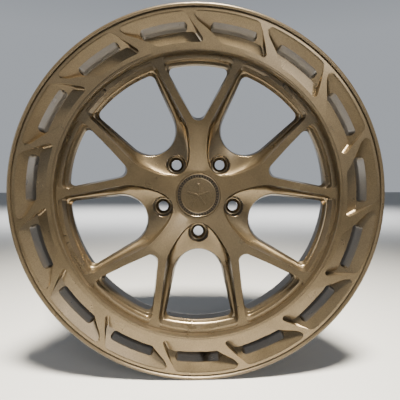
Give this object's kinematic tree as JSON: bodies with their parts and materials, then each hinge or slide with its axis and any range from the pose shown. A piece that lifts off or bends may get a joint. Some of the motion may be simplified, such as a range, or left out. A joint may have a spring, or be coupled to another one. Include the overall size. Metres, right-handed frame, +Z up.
{
  "type": "wheel rim",
  "caption": "Forged road-racing wheel rim with Y-shaped spokes, a ring of slanted vents around the face, a deep drop-centre barrel, a centre cap and a valve.",
  "frame": {"origin": "on the wheel axis, in the plane of the hub mounting face", "axes": "+Y along the axis out of the back of the wheel, so the face looks along -Y; +Z up through the middle of one spoke"},
  "size_m": [0.5219, 0.242, 0.522],
  "materials": {
    "bronze_face": "satin bronze metallic paint under clear coat",
    "bronze_barrel": "satin bronze metallic paint under clear coat",
    "bronze_cap": "satin bronze metallic paint",
    "dark_trim": "satin dark bronze",
    "black_steel": "black oxide",
    "zinc_steel": "bright zinc plate",
    "spring_steel": "bright drawn wire",
    "black_nylon": "moulded matt",
    "black_stem": "black anodised",
    "black_rubber": "matt",
    "brass": "machined",
    "black_cap": "moulded satin"
  },
  "bodies": {
    "wheel": {"rim_barrel": "bronze_barrel", "wheel_centre": "bronze_face", "vented_ring": "bronze_face", "assembly_bolts": "black_steel", "assembly_washers": "zinc_steel", "valve_stem": "black_stem", "valve_inner_seal": "black_rubber", "valve_outer_seal": "black_rubber", "valve_washer": "zinc_steel", "valve_nut": "zinc_steel", "valve_core_body": "brass", "valve_core_gasket": "black_rubber", "valve_core_spring": "spring_steel"},
    "centre_cap": {"cap_shell": "bronze_cap", "cap_trim_ring": "dark_trim", "cap_emblem": "bronze_cap", "cap_spring_ring": "spring_steel"},
    "centring_ring": {"hub_ring": "black_nylon"},
    "valve_pin": {"valve_core_pin": "brass", "valve_core_plunger": "black_rubber"},
    "cap_seal": {"valve_cap_seal": "black_rubber"},
    "dust_cap": {"valve_cap": "black_cap"}
  },
  "joints": [
    {"name": "centre_cap_pull", "type": "slide", "parent": "wheel", "child": "centre_cap", "axis": [0, -1, 0], "range_m": [0, 0.025]},
    {"name": "centring_ring_pull", "type": "slide", "parent": "wheel", "child": "centring_ring", "axis": [0, 1, 0], "range_m": [0, 0.02]},
    {"name": "valve_pin_press", "type": "slide", "parent": "wheel", "child": "valve_pin", "axis": [0.037, 0.53, -0.8472], "range_m": [0, 0.0015], "stiffness_N_per_m": 300, "springref_m": -0.001, "deforming": ["valve_core_spring"]},
    {"name": "dust_cap_lift", "type": "slide", "parent": "wheel", "child": "cap_seal", "axis": [-0.037, -0.53, 0.8472], "range_m": [0, 0.008]},
    {"name": "dust_cap_turn", "type": "hinge", "parent": "cap_seal", "child": "dust_cap", "pos_m": [0.01006, -0.01209, -0.23048], "axis": [-0.037, -0.53, 0.8472], "range_deg": [0, 3600]}
  ],
  "couplings": [
    {"joint": "dust_cap_lift", "follows": "dust_cap_turn", "m_per_rad": 0.00012633}
  ]
}
